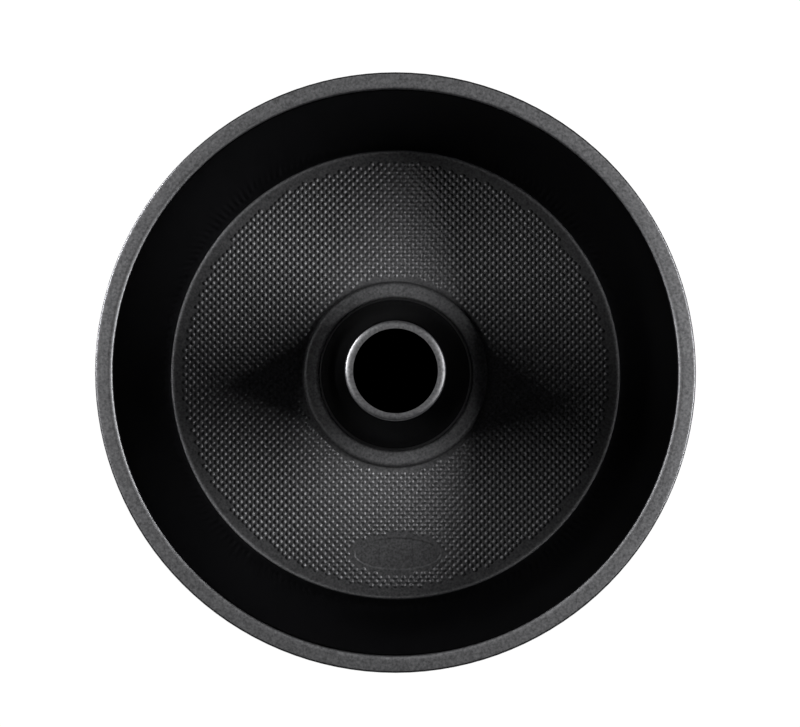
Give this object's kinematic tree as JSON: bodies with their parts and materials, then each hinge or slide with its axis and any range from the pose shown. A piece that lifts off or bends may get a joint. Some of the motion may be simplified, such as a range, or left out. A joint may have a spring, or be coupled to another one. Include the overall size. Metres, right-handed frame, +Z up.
{
  "type": "tube pan",
  "caption": "Round tube pan of coated sheet steel with a flared smooth wall, a flat hemmed rim and a tapered centre tube lock-seamed into its floor, for baking ring cakes.",
  "frame": {"origin": "on the pan's axis, at the level of the surface that the pan stands on", "axes": "+Z up along the pan's axis; the pan is round, so X and Y are any two square directions"},
  "size_m": [0.276, 0.276, 0.089],
  "materials": {
    "body_coating": "satin black non-stick coating on drawn carbon steel sheet",
    "tube_coating": "satin black non-stick coating on drawn carbon steel sheet"
  },
  "bodies": {
    "root": {"pan_body": "body_coating", "centre_tube": "tube_coating"}
  },
  "joints": []
}
